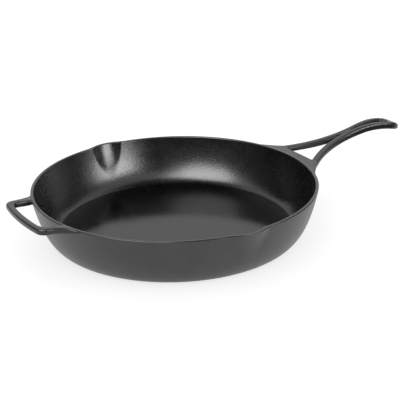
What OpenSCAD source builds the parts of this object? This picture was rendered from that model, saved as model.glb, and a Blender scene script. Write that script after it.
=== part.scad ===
// Cast iron skillet with a long main handle, a short assist handle and two
// pour spouts. The real pan is one casting. Each node below is one natural
// feature of that casting, and neighbours meet face to face.
// Origin: centre of the flat underside. +Z is up, +X runs out along the main
// handle, -X to the assist handle. "Left" is -Y and "right" is +Y, as the cook
// sees the pan from the tip of the main handle.

/* [Pan] */
// Outer radius of the rim
rim_radius = 152.5; // [125:0.5:190]
// Height of the rim above the table
pan_height = 54; // [45:0.5:68]
// How far the rim overhangs the flat underside
wall_flare = 23.8; // [19:0.2:30]
// How far the foot of the wall reaches out before it turns up
foot_reach = 14.6; // [10:0.2:18]
// Height of the turn at the foot of the wall
foot_rise = 8; // [6:0.5:11]
// Thickness of the cooking floor
floor_thickness = 3.6; // [3:0.1:5]
// Thickness of the side wall
wall_thickness = 3.4; // [2.8:0.1:5]
// Depth of the rim band, measured down from the top edge
rim_depth = 5; // [3.5:0.5:7]

/* [Pour spouts] */
// Width of each spout's hollow at the rim
spout_width = 37; // [28:0.5:46]
// How far each hollow is pushed out at the rim
spout_depth = 4.4; // [3:0.1:6]
// Height of each hollow, from its point up to the rim
spout_height = 31; // [24:0.5:38]
// How far the spouts sit from the middle, towards the assist handle
spout_setback = 4; // [0:0.5:8]
// Plain wall between the spout pieces and the heel, the curved lower part of the wall
heel_margin = 4; // [2:0.5:6]

/* [Main handle] */
// Drop of the handle's top face below the rim, where it meets the pan
web_drop = 0.8; // [0:0.1:3]
// Length of the solid web between the rim and the opening
web_length = 11.5; // [9:0.5:18]
// Angle either side of the handle at which its flared root leaves the rim
root_angle = 27; // [22:0.5:32]
// Width of each arm beside the opening
arm_width = 9; // [7:0.2:10]
// Height of the arms and the web
arm_height = 5.4; // [4:0.1:8]
// Width of the neck between the arms and the grip
neck_width = 15.5; // [12:0.5:20]
// Length of the neck, from the opening's point to the grip
neck_length = 18.2; // [12:0.2:40]
// Greatest width of the grip
grip_width = 24; // [20:0.5:30]
// Height of the grip
grip_height = 6.8; // [5.5:0.1:10]
// Upward slope of the handle, in degrees
handle_slope = 11.6; // [6:0.2:16]
// Radius of the downward bend along the grip
grip_bend = 105; // [90:1:160]
// Length of the curved grip
grip_length = 61; // [50:0.5:70]

/* [Hanging slot] */
// Length of the slot in the grip
slot_length = 49; // [36:0.5:52]
// Width of the slot at its round end
slot_width = 11; // [8:0.2:12]
// Metal left between the slot's round end and the tip
slot_margin = 16; // [12:0.5:20]

/* [Assist handle] */
// How far the assist handle reaches past the rim
assist_reach = 26.2; // [22:0.2:36]
// Width across the outside of the assist handle at its far corners
assist_width = 90; // [70:0.5:110]
// Thickness of the assist handle in plan
assist_bar_width = 7; // [5:0.2:9]
// Height of the assist handle's section
assist_bar_height = 6.2; // [5:0.2:9]
// How far the assist handle's top rises above the rim
assist_rise = 3.5; // [0:0.1:6]
// Inner radius of the assist handle's corners
assist_corner = 2.5; // [1:0.5:6]
// How far the far bar bows outwards
assist_bow = 2.6; // [0.5:0.1:5]
// Angle either side of the assist handle at which its arms leave the rim
assist_root_angle = 22.5; // [20:0.5:28]

/* [Hidden] */
$fn = 96;

iron = [0.15, 0.15, 0.155];
iron_light = [0.24, 0.24, 0.245];
curve_steps = 14;     // segments along each curved outline
past = 1;             // how far a cutting shape runs past the face it cuts
tall = 3 * pan_height;  // height of the upright blocks that cut the handles' outlines

// Pan
base_radius = rim_radius - wall_flare;
floor_radius = base_radius - wall_thickness;
band_z = pan_height - rim_depth;

// Pour spouts: a hollow of one radius, leaning out from its point to the rim
scoop_radius = (pow(spout_width / 2, 2) + pow(spout_depth, 2)) / (2 * spout_depth);
spout_foot_z = pan_height - spout_height;
spout_beside = 2;                               // wall kept in the spout node beside its bulge
spout_below = 4;                                // and below the hollow's point
spout_half = spout_width / 2 + wall_thickness + spout_beside;
heel_z = spout_foot_z - spout_below - heel_margin;  // top of the heel, clear of both spouts

// Main handle
web_z = pan_height - web_drop;                  // top of the web
opening_x = rim_radius + web_length;            // where the opening starts
root_radius = (rim_radius * sin(root_angle) - neck_width / 2) / (1 - sin(root_angle));
root_x = (rim_radius + root_radius) * cos(root_angle);     // also where the neck is slimmest
root_y = neck_width / 2 + root_radius;
arm_inner_radius = root_radius + arm_width;
opening_tip_x = root_x - sqrt(pow(arm_inner_radius, 2) - pow(root_y, 2));
opening_y = root_y - sqrt(pow(arm_inner_radius, 2) - pow(root_x - opening_x, 2));
grip_x = opening_tip_x + neck_length;
grip_before_slot = 3;                           // plain grip before the slot's point
slot_tip_x = grip_x + grip_before_slot;
slot_end_x = slot_tip_x + slot_length;
slot_round_x = slot_end_x - slot_width / 2;
widest_x = slot_round_x + slot_width / 4;       // widest place on the grip
tip_x = slot_end_x + slot_margin;
bend_x = tip_x - grip_length;                   // where the straight slope ends

// Assist handle
assist_root_z = pan_height - web_drop;              // top of the arms at the rim
assist_top_z = pan_height + assist_rise;            // top of the far bar
bar_x = -(rim_radius + assist_reach);               // outermost line of the bar
corner_radius = assist_corner + assist_bar_width;
corner_y = assist_width / 2 - corner_radius;
bow_radius = (pow(corner_y, 2) + pow(assist_bow, 2)) / (2 * assist_bow);
bow_turn = asin(corner_y / (bow_radius - corner_radius));
corner_x = bar_x + bow_radius - (bow_radius - corner_radius) * cos(bow_turn);
arm_pull = 0.44 * assist_reach;                     // how strongly each arm's ends hold their line

// Points of a curve through a start, pulled by a middle, to an end
function bend(a, b, c, n = curve_steps) =
    [for (i = [0:n]) let (t = i / n) pow(1 - t, 2) * a + 2 * t * (1 - t) * b + t * t * c];

// Points of a curve with a start, two pulls and an end
function swing(a, b, c, d, n = curve_steps) =
    [for (i = [0:n]) let (t = i / n, s = 1 - t)
        pow(s, 3) * a + 3 * s * s * t * b + 3 * s * t * t * c + pow(t, 3) * d];

// Points of an arc about c
function arc(c, r, from, to, n = curve_steps) =
    [for (i = [0:n]) let (a = from + (to - from) * i / n) c + r * [cos(a), sin(a)]];

function mirrored(points) = [for (i = [len(points) - 1:-1:0]) [points[i][0], -points[i][1]]];
// The list without its first few and last few points
function inside(points, first, last) = [for (i = [first:len(points) - 1 - last]) points[i]];
function smooth(t) = t * t * (3 - 2 * t);
function on_circle(r, a) = r * [cos(a), sin(a)];

// ---- Pan -------------------------------------------------------------------

function outer_wall() =
    bend([base_radius, 0], [base_radius + foot_reach, foot_rise], [rim_radius, pan_height]);

function inner_wall() =
    bend([floor_radius, floor_thickness],
        [floor_radius + foot_reach, floor_thickness + foot_rise - wall_thickness / 4],
        [rim_radius - wall_thickness, pan_height]);

// Everything inside the outside face of the pan, with no hollow
module pan_outside() {
    rotate_extrude() polygon(concat([[0, 0]], outer_wall(), [[0, pan_height]]));
}

// The space that the handles stay out of: the pan, and straight above its rim
module pan_space() {
    rotate_extrude() polygon(concat([[0, 0]], outer_wall(), [[rim_radius, tall], [0, tall]]));
}

module pan_hollow() {
    top = pan_height + past;
    rotate_extrude()
        polygon(concat([[0, floor_thickness]], inner_wall(), [[rim_radius - wall_thickness, top], [0, top]]));
}

// Leaning cylinder whose outer side runs from the hollow's point to the rim
module leaning_scoop(side, grow) {
    foot_r = lookup(spout_foot_z, [for (p = inner_wall()) [p[1], p[0]]]);
    lip_r = rim_radius - wall_thickness + spout_depth;
    lean = atan2(lip_r - foot_r, spout_height);
    length = 2 * spout_height;
    translate([-spout_setback, side * lip_r, pan_height])
        rotate([-side * lean, 0, 0])
        translate([0, -side * scoop_radius, -length])
        cylinder(h = 2 * length, r = scoop_radius + grow);
}

module slab(z0, z1) {
    translate([-tip_x, -tip_x, z0]) cube([2 * tip_x, 2 * tip_x, z1 - z0]);
}

// The pan with both spouts, as it is cast
module bowl() {
    difference() {
        union() {
            pan_outside();
            for (side = [-1, 1])
                intersection() {
                    leaning_scoop(side, wall_thickness);
                    slab(floor_thickness + foot_rise, pan_height);
                }
        }
        pan_hollow();
        for (side = [-1, 1])
            intersection() {
                leaning_scoop(side, 0);
                slab(floor_thickness + foot_rise, pan_height + past);
            }
    }
}

// The block that parts one spout from the wall and the rim band
module spout_space(side) {
    reach = rim_radius + spout_depth + 2 * past;
    z0 = spout_foot_z - spout_below;
    inner = floor_radius / 2;
    translate([-spout_setback - spout_half, side > 0 ? inner : -reach, z0])
        cube([2 * spout_half, reach - inner, band_z - z0]);
}

module cooking_floor() {
    color(iron) cylinder(h = floor_thickness, r = floor_radius);
}

// The wall between two heights, round the floor and the spouts
module wall_ring(z0, z1) {
    difference() {
        intersection() {
            bowl();
            slab(z0, z1);
        }
        cylinder(h = 2 * (floor_thickness + past), r = floor_radius, center = true);
        for (side = [-1, 1]) spout_space(side);
    }
}
module heel() { color(iron_light) wall_ring(0, heel_z); }
module side_wall() { color(iron) wall_ring(heel_z, band_z); }

module rim() {
    color(iron_light) intersection() {
        bowl();
        slab(band_z, pan_height);
    }
}

module pour_spout(side) {
    color(iron_light) intersection() {
        bowl();
        spout_space(side);
    }
}
module pour_spout_left() { pour_spout(-1); }
module pour_spout_right() { pour_spout(1); }

// ---- Main handle -----------------------------------------------------------

// Outline of one side, from inside the pan, along the flared root and the neck,
// round the grip to the tip
function handle_side() = concat(
    [[0, 0], on_circle(rim_radius - wall_thickness, root_angle)],
    arc([root_x, root_y], root_radius, 180 + root_angle, 270),
    [for (i = [1:curve_steps]) let (t = i / curve_steps)
        [root_x + (widest_x - root_x) * t,
         neck_width / 2 + (grip_width - neck_width) / 2 * smooth(t)]],
    [for (i = [1:curve_steps]) let (a = 90 - 90 * i / curve_steps)
        [widest_x + (tip_x - widest_x) * cos(a), grip_width / 2 * sin(a)]]);

module handle_outline() {
    side = handle_side();
    polygon(concat(side, mirrored(inside(side, 1, 1))));
}

// Side view: flat web, straight slope, then a downward bend along the grip
slope_end = [bend_x, web_z + (bend_x - opening_x) * tan(handle_slope)];
bend_middle = slope_end + grip_bend * [sin(handle_slope), -cos(handle_slope)];
function grip_arc(r) =
    arc(bend_middle, r, 90 + handle_slope, acos((tip_x + past - bend_middle[0]) / r));
function handle_top() = concat([[0, web_z], [opening_x, web_z]], grip_arc(grip_bend));
function handle_under() = concat([[0, web_z - arm_height], [opening_x, web_z - arm_height]],
    grip_arc(grip_bend - grip_height));

module handle_block() {
    under = handle_under();
    intersection() {
        linear_extrude(height = tall) handle_outline();
        rotate([90, 0, 0])
            linear_extrude(height = 2 * rim_radius, center = true)
            polygon(concat(handle_top(), [for (i = [len(under) - 1:-1:0]) under[i]]));
    }
}

// Opening between the arms: curved sides that meet in a point
module handle_opening() {
    from = 180 + asin((root_y - opening_y) / arm_inner_radius);
    to = 180 + asin(root_y / arm_inner_radius);
    side = arc([root_x, root_y], arm_inner_radius, from, to);
    linear_extrude(height = tall)
        polygon(concat(side, mirrored(inside(side, 0, 1))));
}

// Teardrop slot: a point towards the pan and a round end towards the tip
module hanging_slot() {
    r = slot_width / 2;
    turn = acos(r / (slot_round_x - slot_tip_x));
    linear_extrude(height = tall)
        polygon(concat([[slot_tip_x, 0]], arc([slot_round_x, 0], r, 180 - turn, turn - 180)));
}

// The stretch of space between two places along X, on one side of the handle or both
module stretch(x0, x1, y0 = -rim_radius, y1 = rim_radius) {
    translate([x0, y0, 0]) cube([x1 - x0, y1 - y0, tall]);
}

module handle_web() {
    color(iron_light) difference() {
        intersection() {
            handle_block();
            stretch(0, opening_x);
        }
        pan_space();
    }
}

module handle_arm(y0, y1) {
    color(iron) difference() {
        intersection() {
            handle_block();
            stretch(opening_x, opening_tip_x, y0, y1);
        }
        handle_opening();
    }
}
module handle_arm_left() { handle_arm(-rim_radius, 0); }
module handle_arm_right() { handle_arm(0, rim_radius); }

module handle_neck() {
    color(iron_light) intersection() {
        handle_block();
        stretch(opening_tip_x, grip_x);
    }
}

module handle_grip() {
    color(iron) difference() {
        intersection() {
            handle_block();
            stretch(grip_x, tip_x + past);
        }
        hanging_slot();
    }
}

// ---- Assist handle ---------------------------------------------------------

// Four points that rule one arm's middle line: off the rim at a tangent, then out
// to the corner
function assist_arm_pulls() = let (
        root = on_circle(rim_radius - assist_bar_width / 2, 180 - assist_root_angle),
        tangent = -[sin(assist_root_angle), cos(assist_root_angle)],
        corner = [corner_x, corner_y + assist_corner + assist_bar_width / 2])
    [root, root + arm_pull * tangent, corner + [arm_pull, 0], corner];

// One edge of the assist handle's outline, to one side of its middle line
function assist_edge(offset) = let (
        p = assist_arm_pulls(),
        line = swing(p[0], p[1], p[2], p[3]),
        way = bend(p[1] - p[0], p[2] - p[1], p[3] - p[2]),
        arm = [for (i = [0:curve_steps]) line[i] + offset * [way[i][1], -way[i][0]] / norm(way[i])],
        r = assist_corner + assist_bar_width / 2 + offset,
        corner = arc([corner_x, corner_y], r, 90, 180 - bow_turn),
        bar_r = bow_radius - assist_bar_width / 2 + offset,
        bar = arc([bar_x + bow_radius, 0], bar_r, 180 - bow_turn, 180 + bow_turn),
        half = concat(arm, inside(corner, 1, 0)))
    concat(half, inside(bar, 1, 1), mirrored(half));

module assist_outline() {
    difference() {
        polygon(assist_edge(assist_bar_width / 2));
        polygon(assist_edge(-assist_bar_width / 2));
    }
}

// Side view: level with the web at the rim, then rising to the far bar
module assist_side() {
    rise_x = -rim_radius * cos(assist_root_angle);
    knee_x = rise_x + (corner_x - rise_x) / 3;
    top = bend([rise_x, assist_root_z], [knee_x, assist_top_z], [bar_x - past, assist_top_z]);
    under = [for (i = [len(top) - 1:-1:0]) top[i] - [0, assist_bar_height]];
    polygon(concat([[0, assist_root_z]], top, under, [[0, assist_root_z - assist_bar_height]]));
}

module assist_block() {
    intersection() {
        linear_extrude(height = tall) assist_outline();
        rotate([90, 0, 0]) linear_extrude(height = 2 * rim_radius, center = true) assist_side();
    }
}

module assist_arm(y0, y1) {
    color(iron) difference() {
        intersection() {
            assist_block();
            stretch(corner_x, 0, y0, y1);
        }
        pan_space();
    }
}
module assist_arm_left() { assist_arm(-rim_radius, 0); }
module assist_arm_right() { assist_arm(0, rim_radius); }

module assist_bar() {
    color(iron_light) intersection() {
        assist_block();
        stretch(bar_x - past, corner_x);
    }
}

cooking_floor();
heel();
side_wall();
rim();
pour_spout_left();
pour_spout_right();
handle_web();
handle_arm_left();
handle_arm_right();
handle_neck();
handle_grip();
assist_arm_left();
assist_arm_right();
assist_bar();
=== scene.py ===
"""Looks of a cast iron skillet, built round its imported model, in metres and in that model's frame.

The skillet is one casting. Each piece made here is one natural feature of that casting, and it
stands for the node of the same name. Neighbours meet edge to edge and share their shading, so
that the pieces read as one pour of iron. +X runs along the main handle, +Y and -Y hold the pour
spouts.
"""

import logging
import math
from collections.abc import Callable, Iterable
from dataclasses import dataclass
from enum import Enum

import bmesh
import bpy
from mathutils import Matrix, Vector


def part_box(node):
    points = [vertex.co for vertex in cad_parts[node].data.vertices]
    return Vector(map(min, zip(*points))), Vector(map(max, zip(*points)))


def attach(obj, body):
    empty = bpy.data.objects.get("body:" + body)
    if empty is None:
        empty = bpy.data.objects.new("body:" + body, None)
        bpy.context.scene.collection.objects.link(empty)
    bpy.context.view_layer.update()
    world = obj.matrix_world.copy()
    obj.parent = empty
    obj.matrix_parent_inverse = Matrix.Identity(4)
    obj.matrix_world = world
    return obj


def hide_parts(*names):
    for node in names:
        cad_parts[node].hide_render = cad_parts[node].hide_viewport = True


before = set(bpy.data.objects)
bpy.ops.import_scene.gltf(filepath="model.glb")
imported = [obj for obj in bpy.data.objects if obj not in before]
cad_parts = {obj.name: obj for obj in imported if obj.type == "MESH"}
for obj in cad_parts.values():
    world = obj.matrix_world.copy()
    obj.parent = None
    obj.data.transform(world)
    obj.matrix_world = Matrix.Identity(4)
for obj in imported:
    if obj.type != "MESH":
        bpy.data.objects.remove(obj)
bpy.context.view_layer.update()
MM = 0.001
PER_METRE = 1000.0  # millimetres in a metre
TINY = MM / 1000  # points nearer than this are one point
SKIN = 0.05 * MM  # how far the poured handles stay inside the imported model
HANDLE_EDGE = 1.6 * MM  # radius of a handle edge that wears fully

logging.basicConfig(level=logging.INFO, format="%(name)s: %(message)s")
log = logging.getLogger("skillet")

Mesh, Edge, Vertex = bmesh.types.BMesh, bmesh.types.BMEdge, bmesh.types.BMVert
Object, Material = bpy.types.Object, bpy.types.Material
Tree, Node, Socket = bpy.types.NodeTree, bpy.types.Node, bpy.types.NodeSocket
Steps = tuple[tuple[float, float], ...]
Cuts = list[tuple[Vector, Vector]]


class Slot(Enum):
    """Material slots of the record."""

    COOKING = "cooking_surface"
    WALL = "seasoned_iron"
    HANDLE = "handle_iron"


class Side(Enum):
    """The two sides of the pan, as the sign of Y."""

    LEFT = -1
    RIGHT = 1


# ---- Shapes ------------------------------------------------------------------


def bend_point(start: Vector, pull: Vector, end: Vector, share: float) -> Vector:
    """Point at a share of a curve from a start, pulled by a middle, to an end."""
    rest = 1 - share
    return start * rest**2 + pull * (2 * share * rest) + end * share**2


def bend(start: Vector, pull: Vector, end: Vector, steps: int) -> list[Vector]:
    """Points of such a curve, both ends included, in a number of steps."""
    return [bend_point(start, pull, end, i / steps) for i in range(steps + 1)]


def arc(centre: Vector, radius: float, start: float, end: float, steps: int) -> list[Vector]:
    """Points of an arc, both ends included, with its angles in radians."""
    angles = [start + (end - start) * i / steps for i in range(steps + 1)]
    return [centre + radius * Vector((math.cos(a), math.sin(a))) for a in angles]


def mirrored(points: Iterable[Vector]) -> list[Vector]:
    """The points of the other side of the X axis, in the opposite order."""
    return [Vector((p.x, -p.y)) for p in reversed(list(points))]


def ease(share: float) -> float:
    """A share from 0 to 1, with a gentle start and end."""
    return share * share * (3 - 2 * share)


def soft_max(a: float, b: float, blend: float) -> float:
    """The larger of two lengths, with the crease between them rounded over a blend length."""
    overlap = max(blend - abs(a - b), 0) / blend
    return max(a, b) + overlap * overlap * blend / 4


@dataclass(frozen=True)
class Flare:
    """A curve that always rises, such as one side of the pan's wall in section.

    Args:
        foot: Its lowest point.
        pull: Point that it leans towards.
        lip: Its highest point.
    """

    foot: Vector
    pull: Vector
    lip: Vector

    def point(self, share: float) -> Vector:
        """Point at a share of the way, from 0 at the foot to 1 at the lip."""
        return bend_point(self.foot, self.pull, self.lip, share)

    def share_at(self, height: float) -> float:
        """How far along the curve a height lies.

        Args:
            height: The height.

        Returns:
            The share, from 0 at the foot to 1 at the lip.
        """
        a = self.foot.y - 2 * self.pull.y + self.lip.y
        b = 2 * (self.pull.y - self.foot.y)
        c = self.foot.y - height
        return -2 * c / (b + math.sqrt(max(b * b - 4 * a * c, 0)))

    def at(self, height: float) -> Vector:
        """Point of the curve at a height."""
        return self.point(self.share_at(height))


@dataclass(frozen=True)
class Measures:
    """Sizes shared by the pan and its handles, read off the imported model.

    Args:
        rim_radius: Outer radius of the rim.
        height: Height of the rim.
        floor_radius: Radius of the cooking floor.
        floor_thickness: Thickness of the cooking floor.
        heel_height: Height of the heel, the curved lower part of the wall.
        band_height: Height at which the rim band starts.
        spout_low: Height at which the spout pieces start.
        spout_from: X at which the spout pieces start.
        spout_to: X at which they end.
        wall_thickness: Thickness of the wall.
        foot_reach: How far the foot of the wall reaches out before it turns up.
        foot_rise: Height of that turn.
    """

    rim_radius: float
    height: float
    floor_radius: float
    floor_thickness: float
    heel_height: float
    band_height: float
    spout_low: float
    spout_from: float
    spout_to: float
    wall_thickness: float = 3.4 * MM
    foot_reach: float = 14.6 * MM
    foot_rise: float = 8 * MM

    @classmethod
    def from_frame(cls) -> "Measures":
        """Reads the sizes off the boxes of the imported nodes.

        Returns:
            The sizes.
        """
        floor, heel, rim = (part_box(name) for name in ("cooking_floor", "heel", "rim"))
        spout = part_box("pour_spout_right")
        return cls(
            rim_radius=rim[1].x,
            height=rim[1].z,
            floor_radius=floor[1].x,
            floor_thickness=floor[1].z,
            heel_height=heel[1].z,
            band_height=rim[0].z,
            spout_low=spout[0].z,
            spout_from=spout[0].x,
            spout_to=spout[1].x,
        )

    def outer_wall(self) -> Flare:
        """The outside of the wall.

        Returns:
            Its section.
        """
        base_radius = self.floor_radius + self.wall_thickness
        return Flare(
            Vector((base_radius, 0)),
            Vector((base_radius + self.foot_reach, self.foot_rise)),
            Vector((self.rim_radius, self.height)),
        )

    def inner_wall(self) -> Flare:
        """The inside of the wall.

        Returns:
            Its section.
        """
        turn = self.floor_thickness + self.foot_rise - self.wall_thickness / 4
        return Flare(
            Vector((self.floor_radius, self.floor_thickness)),
            Vector((self.floor_radius + self.foot_reach, turn)),
            Vector((self.rim_radius - self.wall_thickness, self.height)),
        )


# ---- Meshes ------------------------------------------------------------------


def polyline(bm: Mesh, points: Iterable[Vector]) -> list[Edge]:
    """Adds an open line through some points to a mesh, and returns its edges."""
    verts = [bm.verts.new(p) for p in points]
    return [bm.edges.new(pair) for pair in zip(verts, verts[1:])]


def spun(bm: Mesh, line: list, sweeps: Iterable[tuple[float, int]]) -> None:
    """Spins a line about the Z axis in several sweeps, so that some stretches get finer steps.

    Args:
        bm: Mesh that holds the line.
        line: Edges or faces to spin.
        sweeps: Angle in radians and number of steps of each sweep.
    """
    last = line
    for angle, steps in sweeps:
        turned = bmesh.ops.spin(
            bm, geom=last, cent=(0, 0, 0), axis=(0, 0, 1), angle=angle, steps=steps, use_merge=False
        )
        last = turned["geom_last"]


def prism(outline: list[Vector], low: float, high: float) -> Mesh:
    """A closed upright block over an outline.

    Args:
        outline: Points of the outline, in the XY plane.
        low: Height of its underside.
        high: Height of its top.

    Returns:
        The mesh of the block.
    """
    bm = bmesh.new()
    base = bm.faces.new([bm.verts.new((p.x, p.y, low)) for p in outline])
    raised = bmesh.ops.extrude_face_region(bm, geom=[base])["geom"]
    tops = [item for item in raised if isinstance(item, Vertex)]
    bmesh.ops.translate(bm, verts=tops, vec=(0, 0, high - low))
    bmesh.ops.recalc_face_normals(bm, faces=bm.faces)
    return bm


def crown(bm: Mesh, way: int, steps: Steps) -> None:
    """Raises the top or the underside of a block in steps that draw in from its edges.

    Args:
        bm: Mesh to change.
        way: 1 for the top, -1 for the underside.
        steps: How far each step draws in, and how far it rises.
    """
    bm.normal_update()
    nearly_upright = 0.9
    level = [face for face in bm.faces if face.normal.z * way > nearly_upright]
    for inwards, rise in steps:
        bmesh.ops.inset_region(
            bm, faces=level, thickness=inwards, depth=rise, use_even_offset=True, use_boundary=True
        )


def cut_across(bm: Mesh, at: Vector, way: Vector, clear: bool = False) -> None:
    """Cuts a mesh along a plane, and drops what lies past the plane if that is to be cleared.

    Args:
        bm: Mesh to change.
        at: Point of the plane.
        way: Direction across the plane, towards what can be cleared.
        clear: True if it is.
    """
    everything = bm.verts[:] + bm.edges[:] + bm.faces[:]
    bmesh.ops.bisect_plane(
        bm, geom=everything, dist=TINY, plane_co=at, plane_no=way, clear_outer=clear
    )


def as_object(bm: Mesh, name: str) -> Object:
    """Turns a mesh in the making into an object in the scene, and frees it.

    Args:
        bm: Mesh in the making.
        name: Name of the object.

    Returns:
        The object, at the origin.
    """
    mesh = bpy.data.meshes.new(name)
    bm.to_mesh(mesh)
    bm.free()
    made = bpy.data.objects.new(name, mesh)
    bpy.context.scene.collection.objects.link(made)
    return made


def discard(made: Object) -> None:
    """Removes a helper object and its mesh.

    Args:
        made: The helper.
    """
    mesh = made.data
    bpy.data.objects.remove(made)
    bpy.data.meshes.remove(mesh)


def settled(made: Object) -> Mesh:
    """The mesh of an object with its modifiers applied. The object is removed.

    Args:
        made: Helper object with modifiers.

    Returns:
        A new mesh in the making.
    """
    graph = bpy.context.evaluated_depsgraph_get()
    bm = bmesh.new()
    bm.from_object(made, graph)
    discard(made)
    return bm


class Casting:
    """A closed body of iron that is shaded as a whole and then parted into named pieces."""

    NORMAL = "poured_normal"
    WEAR = "wear"
    # Upward faces are marked as cooked on; the finish darkens them, partly as real seasoning and
    # partly as painted shade.
    USE = "use"
    SEAM = "seam"
    COOKED_AND_SHADED_RISE = 3.0  # how fast the cooked-on mark, painted shade included, grows as a face turns upwards
    COOKED_AND_SHADED_LEVEL = 0.5  # cooked-on mark of an upright face, painted shade included

    def __init__(
        self,
        bm: Mesh,
        edge_radius: float,
        joins: Callable[[Vector], bool] | None = None,
        vessel: bool = False,
    ) -> None:
        """Takes over a closed mesh, and notes its shading, where it wears, and where it is cooked on
        and painted darker as shade.

        Args:
            bm: The whole closed mesh, with its normals outwards.
            edge_radius: Radius of an edge that wears fully.
            joins: Says whether a face joins another body, from its middle. None if none does.
            vessel: True if its upward faces are cooked on, and painted darker as shade.
        """
        self.bm = bm
        bm.normal_update()
        seam = bm.faces.layers.int.new(self.SEAM)
        for face in bm.faces:
            middle = face.calc_center_median()
            inwards = face.normal.xy.dot(middle.xy) < 0
            face[seam] = int(bool(joins and inwards and joins(middle)))
        normal = bm.verts.layers.float_vector.new(self.NORMAL)
        wear = bm.verts.layers.float.new(self.WEAR)
        use = bm.verts.layers.float.new(self.USE)
        for vert in bm.verts:
            skin = [loop for loop in vert.link_loops if not loop.face[seam]]
            turned = sum((loop.face.normal * loop.calc_angle() for loop in skin), Vector())
            vert[normal] = turned.normalized()
            vert[wear] = min(self._sharpness(vert, seam) * edge_radius, 1)
            # Upward faces get the cooked-on mark: cooked-on seasoning, and painted shade as well,
            # once the finish darkens them.
            upward = vert.normal.z * self.COOKED_AND_SHADED_RISE + self.COOKED_AND_SHADED_LEVEL
            vert[use] = ease(min(max(upward, 0), 1)) if vessel else 0.0
        self._spread(wear)

    @staticmethod
    def _sharpness(vert: Vertex, seam: bmesh.types.BMLayerItem) -> float:
        """How tightly the skin turns outwards at a vertex, as one over its radius.

        Args:
            vert: The vertex.
            seam: Face layer that marks faces that aren't skin.

        Returns:
            The mean over the vertex's edges, or 0 in a hollow.
        """
        least_side, sides = MM / 10, 4
        turns = [
            edge.calc_face_angle_signed()
            / max(edge.link_faces[0].calc_perimeter() / sides, least_side)
            for edge in vert.link_edges
            if len(edge.link_faces) == 2 and not any(face[seam] for face in edge.link_faces)
        ]
        return max(sum(turns) / len(turns), 0) if turns else 0

    def _spread(self, layer: bmesh.types.BMLayerItem, rounds: int = 2) -> None:
        """Evens out a value between neighbouring vertices.

        Args:
            layer: Vertex layer that holds the value.
            rounds: How often each vertex takes the mean of its neighbours.
        """
        for _ in range(rounds):
            means = [
                (vert[layer] + sum(edge.other_vert(vert)[layer] for edge in vert.link_edges))
                / (1 + len(vert.link_edges))
                for vert in self.bm.verts
            ]
            for vert, mean in zip(self.bm.verts, means):
                vert[layer] = mean

    def free(self) -> None:
        """Frees the whole mesh once its pieces are made."""
        self.bm.free()

    def _finish(self, bm: Mesh, node: str) -> Object:
        """Makes the object of one piece, shaded as part of the whole.

        Args:
            bm: Closed mesh of the piece, with its closing faces marked as seams.
            node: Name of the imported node.

        Returns:
            The finished object.
        """
        bmesh.ops.recalc_face_normals(bm, faces=bm.faces)
        normal, seam = bm.verts.layers.float_vector[self.NORMAL], bm.faces.layers.int[self.SEAM]
        shading = []
        for face in bm.faces:
            face.smooth = True
            flat = [face.normal.copy()] * len(face.loops)
            turned = [loop.vert[normal].normalized() for loop in face.loops]
            shading += flat if face[seam] else turned
        bm.verts.layers.float_vector.remove(normal)
        bm.faces.layers.int.remove(seam)
        made = as_object(bm, f"iron_{node}")
        made.data.normals_split_custom_set(shading)
        return made

    def sheared(self, node: str, node_at: Callable[[Vector], str]) -> Object:
        """Makes a piece of a walled body from its node's faces, closed through the wall.

        Args:
            node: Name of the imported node.
            node_at: Names the node of a face, from its middle.

        Returns:
            The finished object.
        """
        bm = self.bm.copy()
        spare = [face for face in bm.faces if node_at(face.calc_center_median()) != node]
        bmesh.ops.delete(bm, geom=spare, context="FACES")
        for pair in facing_loops(open_loops(bm)):
            self._mark(bm, bmesh.ops.bridge_loops(bm, edges=pair)["faces"])
        return self._finish(bm, node)

    def sliced(self, node: str, cuts: Cuts) -> Object:
        """Makes a piece of a solid body by cutting away what lies past some planes.

        Args:
            node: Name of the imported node.
            cuts: A point of each plane, and its direction towards what is cut away.

        Returns:
            The finished object.
        """
        bm = self.bm.copy()
        for point, away in cuts:
            cut_across(bm, point, away, clear=True)
            rim = [edge for edge in bm.edges if edge.is_boundary]
            self._mark(bm, bmesh.ops.holes_fill(bm, edges=rim, sides=0)["faces"])
        return self._finish(bm, node)

    def _mark(self, bm: Mesh, faces: Iterable[bmesh.types.BMFace]) -> None:
        """Marks faces as closing faces between two pieces.

        Args:
            bm: Mesh of the piece.
            faces: Its closing faces.
        """
        seam = bm.faces.layers.int[self.SEAM]
        for face in faces:
            face[seam] = 1


def connected(waiting: set, nearby: Callable) -> list[list]:
    """Sorts items into groups that hang together.

    Args:
        waiting: The items. It is used up.
        nearby: Gives the items next to one.

    Returns:
        The items of each group.
    """
    groups = []
    while waiting:
        ends = [waiting.pop()]
        members = list(ends)
        while ends:
            fresh = {item for item in nearby(ends.pop()) if item in waiting}
            waiting -= fresh
            members += fresh
            ends += fresh
        groups.append(members)
    return groups


def open_loops(bm: Mesh) -> list[list[Edge]]:
    """The edges of each closed loop that bounds the open skins of a mesh."""
    borders = {edge for edge in bm.edges if edge.is_boundary}
    return connected(borders, lambda edge: [e for vert in edge.verts for e in vert.link_edges])


def facing_loops(loops: list[list[Edge]]) -> list[list[Edge]]:
    """Pairs the loops that face each other across the wall, by their middles and sizes.

    Args:
        loops: Edges of each loop.

    Returns:
        The edges of each pair, together.
    """

    def place(loop: list[Edge]) -> Vector:
        """Mean place and mean radius of a loop, as four numbers.

        Args:
            loop: Edges of the loop.

        Returns:
            The four numbers.
        """
        verts = {vert for edge in loop for vert in edge.verts}
        middle = sum((vert.co for vert in verts), Vector()) / len(verts)
        radius = sum(vert.co.xy.length for vert in verts) / len(verts)
        return Vector((*middle, radius))

    waiting = [(place(loop), loop) for loop in loops]
    pairs = []
    while len(waiting) > 1:
        spot, loop = waiting.pop()
        nearest = min(range(len(waiting)), key=lambda i: (waiting[i][0] - spot).length)
        pairs.append(loop + waiting.pop(nearest)[1])
    return pairs


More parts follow.
